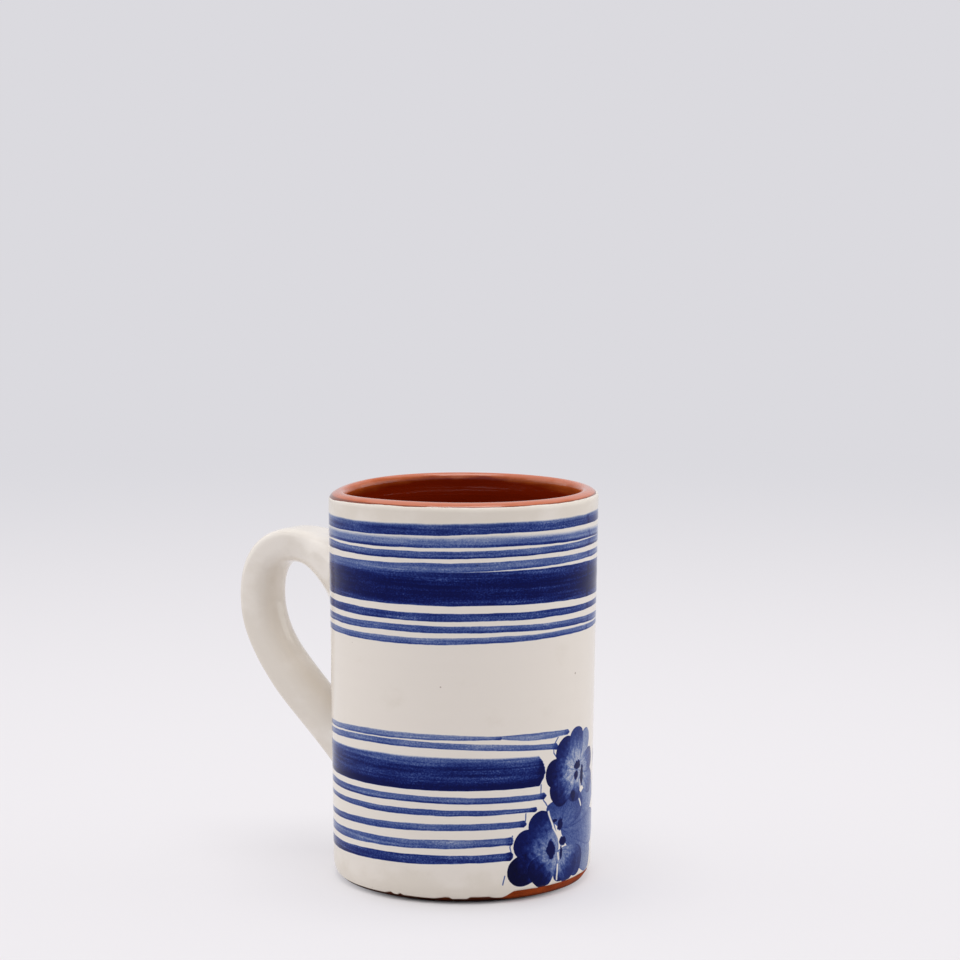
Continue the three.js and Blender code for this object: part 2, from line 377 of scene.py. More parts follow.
def white_glaze(name, painting=None, thinner=(0.0, 0.0)):
    finish, tree, shader, (x, y, z) = new_finish(name)
    cloud = noise(vector(x / 11, y / 11, z / 7), 3)
    peel = noise(vector(x / 1.4, y / 1.4, z / 1.1), 2)
    thin = rise(z, *THIN_AT_LIP) + 1 - rise(z, *THIN_AT_FOOT)
    thin = thin + between(*thinner, rise(z, *THICKER_AT_CROWN))
    white = mottle(tree, rise(cloud + peel * 0.12 + thin * 0.75, 0.15, 0.9), WHITE, WHITE_THIN)

    place = vector(x / SPECK_SPACING, y / SPECK_SPACING, z / SPECK_SPACING)
    cells = add_node(tree, "ShaderNodeTexVoronoi", Vector=place, Scale=1.0)
    chance, size, _ = parts(Field(tree, cells.outputs["Color"]))
    apart = Field(tree, cells.outputs["Distance"]) * SPECK_SPACING
    spot = rise(chance, 1 - SPECK_SHARE, 1 - SPECK_SHARE + 0.01) * (1 - rise(apart - size * 0.2, 0.1, 0.28))
    colour = mottle(tree, spot * SPECK_STRENGTH, white, SPECK_BROWN)
    shine = WHITE_SHINE
    height = cloud * 0.5 + peel * 0.16 - spot * 0.3
    if painting is not None:
        load = painting(x, y, z)
        passed = vector(*[(load * -share).math("EXPONENT") for share in COBALT_TAKES])
        colour = mottle(tree, 1.0, colour, passed, blend="MULTIPLY")
        shine = PAINTED_SHINE
    set_surface(tree, shader, colour, peel * 0.02 + 0.07, shine, height, strength=0.3, depth_mm=0.12)
    return finish


white_finish = white_glaze("white_glaze", thinner=HANDLE_THINNER)
print("finish:", white_finish.name)

# %% [markdown]
# ## Brushed bands
# The bands are laid with a loaded brush while the mug turns, so each one wavers, streaks and pools below.
# One node group knows how to lay a band, and a list says where each band goes and how much cobalt it carries.
# A band stops where the handle springs from the wall, and the lower ones stop in a drop beside the flowers.
# Turns are counted in degrees from the side opposite the handle, and heights in millimetres.

# %% One brushed band
WALL_TURN_MM = math.radians(1) * 38.9
NO_GAP = (400, 401)
DROP_LENGTH = (0.4, 3.2)
END_EDGE = (-0.15, 0.3)
MOST_ROUND = 2.0
LEAST_POOL = 0.65
MOST_LOAD = 7.0

band_group, band_in, band_out = open_group("ShaderNodeTree", "brushed_band", floats(
    "Height", "Turn", "Root Distance", "Streak", "Grain", "Wash", "Lap", "Bottom", "Top",
    "Load Bottom", "Load Middle", "Load Top", "Soft Bottom", "Soft Top", "Gap From", "Gap To", "Stroke",
), ("Load", "NodeSocketFloat"))


def lay_band(
    height, turn, root_distance, streak, grain, wash, lap, bottom, top,
    load_bottom, load_middle, load_top, soft_bottom, soft_top, gap_from, gap_to, stroke,
):
    outside = (gap_from - turn).math("MAXIMUM", turn - gap_to)
    from_end = between(outside, outside * -1, stroke) * WALL_TURN_MM
    from_end = from_end.math("MINIMUM", root_distance)
    above = height - bottom
    width = top - bottom
    share = above / width
    round_end = (share * 2 - 1) ** 2 * (width * 0.3).math("MINIMUM", MOST_ROUND)
    drop = 1 - rise(from_end, *DROP_LENGTH)
    swell = drop * 0.1 * width.math("MINIMUM", 2.5)
    low = rise(above + swell, soft_bottom * -0.5, soft_bottom * 0.5)
    high = rise(top - height + swell, soft_top * -0.5, soft_top * 0.5)
    end = rise(from_end - round_end + streak * 0.5, *END_EDGE)
    pooled = 1 - rise(above, 0.2, (width * 0.35).math("MAXIMUM", LEAST_POOL))
    load = load_middle + (load_bottom - load_middle) * pooled
    load = load + (load_top - load_middle) * rise(share, 0.6, 1.0)
    uneven = streak * 0.75 + grain * 0.7 + wash * 0.3 + lap * 0.35 + 1
    load = (load * uneven * (drop * 0.75 + 1)).math("SMOOTH_MIN", MOST_LOAD, 2.0)
    return load * low * high * end


close_group(band_group, lay_band(*band_in.values()), band_out)

# %% [markdown]
# The list of bands reads from the rim down to the table.
# Each edge is written as its height at the front of the picture, its lean and its bow. A lean lifts it on the
# right and lowers it on the left, a bow lowers it on both sides, as mug and brush are never quite true.
# Load is the amount of cobalt at the bottom edge, in the middle and at the top edge; it pools at the bottom.
# A gap is a range of turns that the band leaves out, and a stroke fills only its gap.

# %% The list of bands
SHARP = 0.25


def band(bottom, top, load, soft_top=SHARP, gap=NO_GAP, stroke=0):
    return {
        "bottom": bottom, "top": top,
        "Load Bottom": load[0], "Load Middle": load[1], "Load Top": load[2],
        "Soft Bottom": SHARP, "Soft Top": soft_top,
        "Gap From": gap[0], "Gap To": gap[1], "Stroke": stroke,
    }


BANDS = [
    band((107.9, 1.0, 0.8), (110.95, 0.8, 0.8), (4.6, 3.6, 2.0), soft_top=0.7),
    band((104.2, 0.5, 1.0), (107.2, 0.4, 1.3), (4.0, 1.9, 0.8), soft_top=1.2),
    band((101.1, 0.8, 0.2), (103.2, 0.7, 0.2), (4.6, 2.6, 2.4)),
    band((97.3, 1.45, 0.6), (99.9, 1.0, 1.1), (3.0, 2.2, 2.2)),
    band((87.5, 0.0, 1.2), (97.2, 0.7, 1.3), (5.0, 6.8, 4.4), soft_top=0.35),
    band((82.9, 0.2, 0.1), (85.2, 0.0, 0.5), (4.0, 3.5, 3.8)),
    band((79.6, 0.1, 1.0), (81.5, 0.0, 0.8), (3.6, 2.5, 2.4)),
    band((76.3, 0.8, 0.0), (78.2, 0.6, 0.4), (3.0, 2.2, 1.5)),
    band((48.4, 0.0, 2.0), (49.8, -1.3, 3.6), (2.8, 1.8, 1.4), gap=(-43, 24)),
    band((50.6, -9.1, -10.2), (48.7, 3.5, 7.5), (2.2, 1.7, 2.3), gap=(-54, -7.5), stroke=1),
    band((45.6, -1.5, 3.4), (47.4, -1.6, 3.7), (2.9, 2.2, 2.2), gap=(-14.8, 24)),
    band((33.6, 0.2, 0.5), (42.95, -0.7, 2.1), (8.0, 4.8, 2.6), soft_top=0.8, gap=(-22.3, 22)),
    band((29.7, 0.0, 0.6), (31.6, -0.3, 0.9), (4.0, 2.2, 2.2), gap=(-21.5, 23)),
    band((26.2, 0.3, 0.4), (27.8, -0.2, 1.4), (3.7, 2.7, 2.6), gap=(-26.2, 25)),
    band((21.8, 0.8, 1.3), (23.8, 0.4, 2.1), (3.6, 2.5, 2.4), gap=(-31.5, 30)),
    band((16.7, 1.4, 0.4), (19.1, 0.7, 1.1), (3.1, 2.3, 2.2), gap=(-37.5, 33)),
    band((12.2, 1.4, 0.6), (14.6, 0.8, 0.9), (4.8, 4.1, 3.8), gap=(-37.5, 36)),
]
print(len(BANDS), "bands")

# %% [markdown]
# ## Brushed flowers
# Folk flowers of this kind are made of pressed strokes: the loaded brush lands at the rim and drags inwards.
# So a petal is darkest at its outer end, has a crisp rim, and shows fine pale streaks towards the middle.
# One node group lays a petal over what is already there.

# %% One pressed petal
petal_group, petal_in, petal_out = open_group("ShaderNodeTree", "pressed_petal", floats(
    "Under", "Across", "Up", "Streak", "Grain", "Blot",
    "Direction", "Length", "Half Width", "Rim Load", "Heart Load",
), ("Load", "NodeSocketFloat"))
WIDEST = 0.69
PETAL_EDGE = (-0.08, 0.16)
BRUSH_LANDS = (0.27, 0.92)
RIM_WIDTH = (0.1, 0.8)
RIM_EXTRA = 0.6
LEAST_PETAL_LOAD = 0.25


def lay_petal(under, across, up, streak, grain, blot, direction, length, half_width, rim_load, heart_load):
    cosine = direction.math("COSINE")
    sine = direction.math("SINE")
    along = across * cosine + up * sine
    aside = up * cosine - across * sine
    share = (along / length).math("MAXIMUM", 0.0).math("MINIMUM", 1.0)
    half = half_width / WIDEST * share ** 0.62 * (1 - share ** 4) ** 0.5
    beyond = (along - share * length).math("ABSOLUTE")
    inside = half - aside.math("ABSOLUTE") - beyond
    mask = rise(inside, *PETAL_EDGE)
    landed = rise(share + streak * 0.12 + blot * 0.2, *BRUSH_LANDS)
    load = between(heart_load, rim_load, landed) + (1 - rise(inside, *RIM_WIDTH)) * RIM_EXTRA
    load = load + streak * (1.3 - share) * 1.1 + grain * 1.4
    return between(under, load.math("MAXIMUM", LEAST_PETAL_LOAD), mask)


close_group(petal_group, lay_petal(*petal_in.values()), petal_out)

# %% [markdown]
# Three flowers overlap in a bunch opposite the handle.
# Each petal has its own direction in degrees, length and half width in millimetres, and load at its rim, as
# a brush never repeats itself. A flower's place and the load at its heart hold for all its petals.
# Dark oval dabs make the stamens, hair lines stand for leaves, and slivers stay white between petals.

# %% Three flowers, their stamens and hair lines
FLOWERS = [
    {
        "across": -8.2, "up": 19.9, "heart": 2.6, "petals": [
            (-36, 24.0, 5.4, 1.5), (-10, 26.0, 5.4, 1.5), (20, 24.0, 4.6, 1.5),
            (88, 8.6, 6.4, 3.6), (38, 13.4, 4.6, 3.4),
        ],
    },
    {
        "across": -0.3, "up": 36.0, "heart": 0.9, "petals": [
            (56, 13.0, 3.4, 1.6), (-30, 14.0, 3.8, 3.0), (10, 12.0, 3.6, 3.8), (255, 9.8, 3.4, 5.0),
            (211, 14.2, 4.6, 7.0), (178, 14.6, 4.3, 7.4), (134, 13.0, 4.4, 5.8), (93, 12.8, 4.0, 4.0),
        ],
    },
    {
        "across": -9.5, "up": 13.0, "heart": 1.5, "petals": [
            (-26, 14.0, 4.6, 4.4), (282, 9.4, 3.2, 5.6), (312, 11.0, 4.8, 5.0),
            (163, 16.5, 4.6, 6.6), (197, 18.5, 4.6, 9.4), (218, 12.4, 5.0, 8.0), (128, 15.4, 4.3, 6.2),
        ],
    },
]
DABS = [
    (-0.3, 37.1, 2.0, 1.4), (-1.0, 34.2, 1.2, 1.6), (2.7, 33.8, 1.1, 3.4), (-2.6, 28.4, 1.6, 2.0),
    (-8.6, 21.0, 1.3, 2.1), (-11.2, 22.3, 1.1, 0.6),
    (-12.4, 13.9, 1.9, 3.0), (-7.2, 15.8, 1.8, 1.4), (-8.0, 12.4, 0.6, 2.2),
]
DAB_LOAD = 7.0
DAB_EDGE = (0.7, 1.1)
HAIR_LINES = [
    ((-10.2, 47.0), (-12.0, 44.6)), ((-12.0, 44.6), (-11.9, 42.6)), ((-11.9, 42.6), (-10.4, 41.1)),
    ((-16.5, 33.8), (-16.5, 31.2)), ((-15.8, 29.6), (-13.1, 25.9)), ((-21.6, 25.9), (-21.7, 23.7)),
    ((-25.9, 19.7), (-26.6, 16.4)), ((-26.6, 16.4), (-26.0, 13.8)), ((-28.1, 8.0), (-28.7, 5.5)),
]
HAIR_LOAD = 2.6
HAIR_HALF = 0.14
SLIVERS = [
    ((-13.6, 25.4), (-11.6, 20.4)), ((-11.6, 20.4), (-9.4, 17.2)), ((-9.5, 9.0), (-9.8, 4.6)),
    ((-9.4, 12.4), (-9.2, 10.6)), ((1.2, 26.6), (2.6, 24.6)),
]
SLIVER_HALF = 0.3


def use_group(tree, group, values):
    """Places a group in a material and gives back its result."""
    node = tree.nodes.new("ShaderNodeGroup")
    node.node_tree = group
    for label, value in values.items():
        plug(tree, value, node.inputs[label])
    return Field(tree, node.outputs[0])


def lay_flower(under, flower, arc, z, grain, blot):
    tree = arc.tree
    across = arc - flower["across"]
    up = z - flower["up"]
    bearing = up.math("ARCTAN2", across)
    far = (across * across + up * up) ** 0.5
    streak = noise(vector(bearing.math("COSINE") * 7, bearing.math("SINE") * 7, far / 2.5 + flower["up"]), 4)
    load = under
    for direction, length, half, rim_load in flower["petals"]:
        load = use_group(tree, petal_group, {
            "Under": load, "Across": across, "Up": up, "Streak": streak, "Grain": grain, "Blot": blot,
            "Direction": math.radians(direction), "Length": length, "Half Width": half,
            "Rim Load": rim_load, "Heart Load": flower["heart"],
        })
    return load


def lay_dab(under, dab, arc, z, ragged):
    across, up, half_across, half_up = dab
    ring = (((arc - across) / half_across) ** 2 + ((z - up) / half_up) ** 2) ** 0.5 + ragged * 0.45
    return under.math("MAXIMUM", (1 - rise(ring, *DAB_EDGE)) * DAB_LOAD)


def hair(ends, half, arc, z):
    """1 on a thin straight line between two places, 0 off it."""
    (first, low), (last, high) = ends
    wide = last - first
    tall = high - low
    share = ((arc - first) * wide + (z - low) * tall) * (1 / (wide * wide + tall * tall))
    share = share.math("MAXIMUM", 0.0).math("MINIMUM", 1.0)
    side = arc - first - share * wide
    rest = z - low - share * tall
    apart = (side * side + rest * rest) ** 0.5
    return 1 - rise(apart, half * 0.5, half * 2)


print(sum(len(flower["petals"]) for flower in FLOWERS), "petals in", len(FLOWERS), "flowers")

# %% [markdown]
# ## The whole painting
# Slow noise makes the hand waver, long noise makes brush streaks and fine noise makes the grain of the wash.
# All of it is squeezed Object coordinates, stretched round the wall, so there is no seam anywhere.
# The clay at the foot of the handle is left free of paint: two ovals on the wall keep the bands away.
# Every band has a lap, where its stroke ends over its start. From the sides round to the back the cobalt is
# made paler, a painted sheen for the glaze's reflection at grazing angles.

# %% Painting on the wall
UPPER_OVAL = {"up": 86.6, "half_up": 17.2, "half_across": 17.0}
LOWER_OVAL = {"up": 32.6, "half_up": 11.2, "half_across": 12.8}
PICTURE_FRONT = 60
LAP_TURN = 6
MOST_BOW = 1.1
NARROWEST = 0.6
PAINTED_SHEEN_AWAY = (0.6, 1.0)
PAINTED_SHEEN_SHARE = 0.22
WAVER_MM = 0.28
TREMBLE_MM = 0.16


def oval_distance(x, y, z, oval):
    """Roughly how far a place is outside an oval round the handle's foot, in millimetres."""
    ring = ((y / oval["half_across"]) ** 2 + ((z - oval["up"]) / oval["half_up"]) ** 2) ** 0.5
    return (ring - 1) * oval["half_across"] + rise(x, -1.0, 1.0) * 100


def painting(x, y, z):
    tree = x.tree
    turn = y.math("ARCTAN2", x) * math.degrees(1)
    waver = noise(vector(x / 17, y / 17, z / 6), 1)
    tremble = noise(vector(x / 4.5, y / 4.5, z / 2), 2)
    height = z + waver * WAVER_MM + tremble * TREMBLE_MM
    upper, lower = [oval_distance(x, y, z, oval) for oval in (UPPER_OVAL, LOWER_OVAL)]
    shared = {
        "Height": height, "Turn": turn, "Root Distance": upper.math("MINIMUM", lower),
        "Streak": noise(vector(x / 22, y / 22, z / 0.8), 4),
        "Grain": noise(vector(x / 0.5, y / 0.5, z / 0.4), 4),
        "Wash": noise(vector(x / 10, y / 10, z / 4), 2),
        "Lap": 1 - rise((turn + waver * 3 - LAP_TURN).math("ABSOLUTE"), 0.5, 1.5),
    }
    from_front = (turn + PICTURE_FRONT).math("RADIANS")
    sideways = from_front.math("SINE")
    away = (1 - from_front.math("COSINE")).math("SMOOTH_MIN", MOST_BOW, 0.4)
    load = None
    for row in BANDS:
        values = dict(row)
        least_width = (row["top"][0] - row["bottom"][0]) * NARROWEST
        for label in ("Bottom", "Top"):
            level, lean, bow = values.pop(label.lower())
            values[label] = sideways * lean - away * bow + level
        values["Top"] = values["Top"].math("MAXIMUM", values["Bottom"] + least_width)
        laid = use_group(tree, band_group, {**shared, **values})
        load = laid if load is None else load.math("MAXIMUM", laid)
    # Painted sheen: the cobalt is paler from the sides round to the back, away from the camera's side.
    load = load * (1 - rise(away, *PAINTED_SHEEN_AWAY) * PAINTED_SHEEN_SHARE)
    ragged = noise(vector(x / 1.3, y / 1.3, z / 1.3), 2)
    arc = turn * WALL_TURN_MM + tremble * 0.25
    up = z + tremble * 0.2
    for ends in HAIR_LINES:
        load = load.math("MAXIMUM", hair(ends, HAIR_HALF, arc, up) * HAIR_LOAD)
    for flower in FLOWERS:
        load = lay_flower(load, flower, arc, up, shared["Grain"], ragged)
    for dab in DABS:
        load = lay_dab(load, dab, arc, up, ragged)
    for ends in SLIVERS:
        load = load * (1 - hair(ends, SLIVER_HALF, arc, up))
    return load


painted_finish = white_glaze("painted_white_glaze", painting)
print("finish:", painted_finish.name, "with", len(painted_finish.node_tree.nodes), "nodes")

# %% [markdown]
# ## Thrown on the wheel
# A thrown form is one outline turned round the axis, so one Geometry Nodes tree throws all three skins.
# It lays a grid, samples the outline by length and turns each sample round the axis.
# A coat is the same outline, lifted a little off the clay between two lengths, with wavering, rounded edges.
# Its lower edge has chips, and runs higher where the foot was wiped.
# A shallow spiral and slow lumps, both pressed inwards, are the marks of the potter's fingers.

# %% A tree that throws a skin
throw_tree, throw_in, throw_out = open_group("GeometryNodeTree", "thrown_skin", {
    "Outline": "NodeSocketGeometry", "Segments": "NodeSocketInt", "Rows": "NodeSocketInt",
    **floats(
        "Start", "End", "Start Wave", "Start Chips", "End Wave", "End Dip",
        "Wiped Height", "Wiped Turn", "Wiped Half Turn", "Thickness", "Start Bead", "End Bead",
        "Spiral Depth", "Spiral Pitch", "Rim Height", "Rim Dip", "Rim Low Turn", "Seed",
    ),
    "Material": "NodeSocketMaterial",
}, ("Skin", "NodeSocketGeometry"))
BEAD_SINK = 0.06 * MM
TINY = 0.01 * MM
WELD = TINY * 0.1
ROW_CROWDING = 0.85
CHIP_LEVELS = (0.02, 0.14)
LUMP_HEIGHT = 30 * MM
LEAST_DIP = 0.2
DIP_FROM = (0.5, 0.93)


def lay_grid(tree, columns, rows):
    """A grid one unit wide and tall, and the place of each of its points, across and along."""
    grid = add_node(tree, "GeometryNodeMeshGrid", Size_X=1.0, Size_Y=1.0, Vertices_X=columns, Vertices_Y=rows)
    across, along, _ = parts(Field(tree, tree.nodes.new("GeometryNodeInputPosition").outputs[0]))
    return Field(tree, grid.outputs["Mesh"]), across, along


def dress_grid(tree, grid, place, material):
    """Moves the points of a grid to their places, welds what meets and puts the material on."""
    for kind, links in (
        ("GeometryNodeSetPosition", {"Position": place}),
        ("GeometryNodeMergeByDistance", {"Distance": WELD}),
        ("GeometryNodeSetShadeSmooth", {}),
        ("GeometryNodeRealizeInstances", {}),
        ("GeometryNodeSetMaterial", {"Material": material}),
    ):
        grid = Field(tree, add_node(tree, kind, Geometry=grid, **links).outputs[0])
    return grid


def throw():
    tree, given = throw_tree, throw_in
    outline = add_node(tree, "GeometryNodeMeshToCurve", Mesh=given["Outline"])
    grid, across, along = lay_grid(tree, given["Segments"] + 1, given["Rows"] + 1)
    angle = across * math.tau
    cosine = angle.math("COSINE")
    sine = angle.math("SINE")
    share = along + 0.5
    share = share - (share * math.tau).math("SINE") * (ROW_CROWDING / math.tau)

    def edge_wave(offset, waves=5):
        return noise(vector(cosine * waves, sine * waves, given["Seed"] + offset), 3)

    facing = (angle - given["Wiped Turn"]).math("COSINE")
    limit = given["Wiped Half Turn"].math("COSINE")
    wiped = rise(facing + edge_wave(3.0) * 0.05, limit - 0.04, limit + 0.04) * given["Wiped Height"]
    chips = rise(edge_wave(37.0, waves=6), *CHIP_LEVELS) * given["Start Chips"]
    first = given["Start"] + edge_wave(0.0) * given["Start Wave"] + chips.math("MAXIMUM", wiped)
    near_low = (((angle - given["Rim Low Turn"]).math("COSINE") + 1) * 0.5) ** 8
    last = given["End"] + edge_wave(7.0) * given["End Wave"] - near_low * given["End Dip"]
    length = between(first, last, share)

    sample = tree.nodes.new("GeometryNodeSampleCurve")
    sample.mode = "LENGTH"
    sample.use_all_curves = True
    tree.links.new(outline.outputs[0], sample.inputs["Curves"])
    plug(tree, length, sample.inputs["Length"])
    radius, _, height = parts(Field(tree, sample.outputs["Position"]))
    outwards, _, upwards = parts(Field(tree, sample.outputs["Tangent"]))
    face_out = upwards
    face_up = outwards * -1

    start_bead = rise((length - first + TINY) / given["Start Bead"], 0.0, 1.0)
    end_bead = rise((last - length + TINY) / given["End Bead"], 0.0, 1.0)
    lift = (given["Thickness"] + BEAD_SINK) * start_bead * end_bead - BEAD_SINK
    lump = noise(vector(cosine * 1.6, sine * 1.6, height / LUMP_HEIGHT + given["Seed"]), 1)
    spiral = (height / given["Spiral Pitch"] * math.tau + angle + lump * 2).math("SINE")
    press = (spiral + lump * 1.5 + 2.5) * given["Spiral Depth"] * face_out.math("ABSOLUTE")
    lift = lift - press * start_bead * end_bead

    dip = between(LEAST_DIP, 1.0, near_low) * given["Rim Dip"] * rise(height / given["Rim Height"], *DIP_FROM)
    turned = radius + face_out * lift
    place = vector(turned * cosine, turned * sine, height + face_up * lift - dip)
    return dress_grid(tree, grid, place, given["Material"])


close_group(throw_tree, throw(), throw_out)

# %% [markdown]
# The outline runs from the middle of the underside up the outside, over the lip and down to the middle of
# the floor. Its corners are quarter ovals. The lengths at which a coat starts and ends are measured along it.

# %% The outline of the clay
ARC_STEPS = 14


def quarter(centre, half_wide, half_tall, first, last):
    """Points on an oval, from one angle to another in degrees."""
    points = []
    for step in range(ARC_STEPS + 1):
        angle = math.radians(between(first, last, step / ARC_STEPS))
        points.append((centre[0] + half_wide * math.cos(angle), centre[1] + half_tall * math.sin(angle)))
    return points


lip_start = CUP_HEIGHT - LIP_OUTER_DROP
lip_end = CUP_HEIGHT - LIP_INNER_DROP
crest_radius = wall_inside(lip_end) + LIP_CREST_INSET
foot_line = quarter((wall_outside(FOOT_ROUND) - FOOT_INSET, FOOT_ROUND), FOOT_INSET, FOOT_ROUND, -90, 0)
outer_lip = quarter((crest_radius, lip_start), wall_outside(lip_start) - crest_radius, LIP_OUTER_DROP, 0, 90)
inner_lip = quarter((crest_radius, lip_end), LIP_CREST_INSET, LIP_INNER_DROP, 90, 180)
corner_top = FLOOR + FLOOR_CORNER
corner_middle = (wall_inside(corner_top) - FLOOR_CORNER, corner_top)
corner_line = quarter(corner_middle, FLOOR_CORNER, FLOOR_CORNER, 0, -90)
clay_outline = [(0.0, 0.0), *foot_line, *outer_lip, *inner_lip[1:], *corner_line, (0.0, FLOOR)]

lengths = [0.0]
for before, after in zip(clay_outline, clay_outline[1:]):
    lengths.append(lengths[-1] + math.dist(before, after))


def length_at(height):
    """Length along the outline at which the outside reaches a height."""
    for (_, low), (_, high), start, end in zip(clay_outline, clay_outline[1:], lengths, lengths[1:]):
        if low <= height < high:
            return between(start, end, (height - low) / (high - low))
    return lengths[-1]


print(f"outline of {len(clay_outline)} points, {lengths[-1] / MM:.1f} mm long")

# %% [markdown]
# ## Cup, lining and coat
# The bare cup comes first. The lining starts under the edge of the white at the lip and runs to the floor.
# The white coat ends raggedly just under the crest and hangs almost to the table, except where the foot was
# wiped. The rim dips a little on the handle's side, and all three skins follow it.
# An input that a skin doesn't name stays at zero: the bare cup has no thickness, waves or chips.
# Solidify gives both coats their thickness, inwards, so that every skin is a closed shell.

# %% Throw the three skins
COAT_BELOW_CREST = 0.75 * MM
COAT_ABOVE_TABLE = 1.3 * MM
LINING_OVERLAP = 1.6 * MM
SHELL = 0.3 * MM
NO_BEAD = TINY


def new_piece(name, points, edges=(), faces=()):
    """An object in the scene with a mesh of those points, edges and faces."""
    mesh = bpy.data.meshes.new(name)
    mesh.from_pydata(points, edges, faces)
    piece = bpy.data.objects.new(name, mesh)
    scene.collection.objects.link(piece)
    return piece


def outline_object(name):
    """An object whose mesh is only the line that the tree turns round the axis."""
    points = [(radius, 0.0, height) for radius, height in clay_outline]
    return new_piece(name, points, edges=[(number, number + 1) for number in range(len(points) - 1)])


def run_tree(piece, tree, values):
    """Runs a tree on a piece and keeps the result as the piece's own plain mesh."""
    modifier = piece.modifiers.new(tree.name, "NODES")
    modifier.node_group = tree
    for item in tree.interface.items_tree:
        if item.in_out == "INPUT" and item.name in values:
            modifier[item.identifier] = values[item.name]
    bake(piece)


def bake(piece):
    graph = bpy.context.evaluated_depsgraph_get()
    result = bpy.data.meshes.new_from_object(piece.evaluated_get(graph))
    piece.modifiers.clear()
    line = piece.data
    piece.data = result
    bpy.data.meshes.remove(line)
    result.name = piece.name


def make_shell(piece):
    shell = piece.modifiers.new("thickness", "SOLIDIFY")
    shell.thickness = SHELL
    shell.offset = -1
    bake(piece)


def settle(piece, slot, *nodes):
    """Lets a finished piece stand for its solids."""
    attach(piece, "root")
    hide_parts(*nodes)
    low, high = [
        [round(pick(vertex.co[axis] for vertex in piece.data.vertices) / MM, 2) for axis in range(3)]
        for pick in (min, max)
    ]
    print(piece.name, len(piece.data.polygons), "faces, from", low, "to", high, "mm")


bare_skin = {
    "Segments": 224, "Rows": 150, "End": lengths[-1],
    "Start Bead": NO_BEAD, "End Bead": NO_BEAD, "Spiral Pitch": 5 * MM,
    "Rim Height": CUP_HEIGHT, "Rim Dip": 1.4 * MM, "Rim Low Turn": math.radians(-152),
    "Seed": 3.0, "Material": clay_finish,
}
cup = outline_object("cup_of_red_clay")
run_tree(cup, throw_tree, bare_skin)
settle(cup, "bare_terracotta", "thrown_cup")

lining = outline_object("clear_glazed_lining")
coat_end = length_at(CUP_HEIGHT - COAT_BELOW_CREST)
run_tree(lining, throw_tree, {
    **bare_skin, "Start": coat_end - LINING_OVERLAP, "Thickness": INNER_GLAZE, "Start Bead": 0.5 * MM,
    "Spiral Depth": 0.05 * MM, "Spiral Pitch": 6 * MM, "Seed": 5.0, "Material": lining_finish,
})
make_shell(lining)
settle(lining, "clear_glaze", "inner_glaze")

coat = outline_object("painted_white_coat")
run_tree(coat, throw_tree, {
    **bare_skin, "Start": length_at(COAT_ABOVE_TABLE), "End": coat_end,
    "Start Wave": 0.35 * MM, "Start Chips": 0.7 * MM, "End Wave": 0.4 * MM, "End Dip": 0.7 * MM,
    "Wiped Height": 2.1 * MM, "Wiped Turn": WIPED_TURN, "Wiped Half Turn": math.radians(51),
    "Thickness": WHITE_COAT, "Start Bead": 0.7 * MM, "End Bead": 0.8 * MM,
    "Spiral Depth": 0.025 * MM, "Spiral Pitch": 5.5 * MM, "Seed": 11.0, "Material": painted_finish,
})
make_shell(coat)
settle(coat, "white_glaze", "white_coat")

# %% [markdown]
# ## The pulled handle
# A handle is pulled: wet clay is stroked into a long tapering strap, bent over and pressed on to the wall.
# Its path is two curves, over the crown and down to the lower end, with rounded sections set along it.
# At both ends the clay is stroked out over the wall. That is the feature that takes most skill.

# %% Path of the strap, in the handle's own plane
JOIN_LENGTH = 6 * MM
UPPER_FACE = 91.8 * MM
UPPER_RISE = math.radians(28)
UPPER_PULL = 15 * MM
HANDLE_REACH = 31.8 * MM
REACH_HEIGHT = 79 * MM
CROWN_PULL = 16.5 * MM
SWEEP_PULL = 14 * MM
LOWER_FACE = 40.4 * MM
LOWER_FALL = math.radians(42)
LOWER_PULL = 21 * MM
CURVE_STEPS = 200


def heading(angle):
    return Vector((math.cos(angle), math.sin(angle)))


def bezier(start, leave, arrive, end, share):
    rest = 1 - share
    return (
        rest ** 3 * start + 3 * rest ** 2 * share * leave
        + 3 * rest * share ** 2 * arrive + share ** 3 * end
    )


upper_end = Vector((wall_outside(UPPER_FACE) + JOIN_LENGTH, UPPER_FACE))
farthest = Vector((wall_outside(REACH_HEIGHT) + HANDLE_REACH, REACH_HEIGHT))
lower_end = Vector((wall_outside(LOWER_FACE) + JOIN_LENGTH, LOWER_FACE))
crown_curve = (
    upper_end, upper_end + heading(UPPER_RISE) * UPPER_PULL, farthest + Vector((0, CROWN_PULL)), farthest
)
tail_curve = (
    farthest, farthest - Vector((0, SWEEP_PULL)), lower_end + heading(LOWER_FALL) * LOWER_PULL, lower_end
)
path = [bezier(*crown_curve, step / CURVE_STEPS) for step in range(CURVE_STEPS)]
path += [bezier(*tail_curve, step / CURVE_STEPS) for step in range(CURVE_STEPS + 1)]
path_lengths = [0.0]
for before, after in zip(path, path[1:]):
    path_lengths.append(path_lengths[-1] + (after - before).length)


def on_path(share):
    """Centre and direction at a share of the strap's length."""
    wanted = share * path_lengths[-1]
    before = max(step for step in range(len(path) - 1) if path_lengths[step] <= wanted + TINY * TINY)
    span = path_lengths[before + 1] - path_lengths[before]
    centre = path[before].lerp(path[before + 1], (wanted - path_lengths[before]) / span)
    return centre, (path[before + 1] - path[before]).normalized()


print(f"strap {path_lengths[-1] / MM:.1f} mm long")

# %% [markdown]
# The strap is cut into rows. Each row carries its centre, lean, depth and width as attributes.
# Towards both ends the sections swell, stand upright and lead over to rows that settle on the wall.
# A foot is written as the height of its middle, and how far it reaches up or down and sideways.

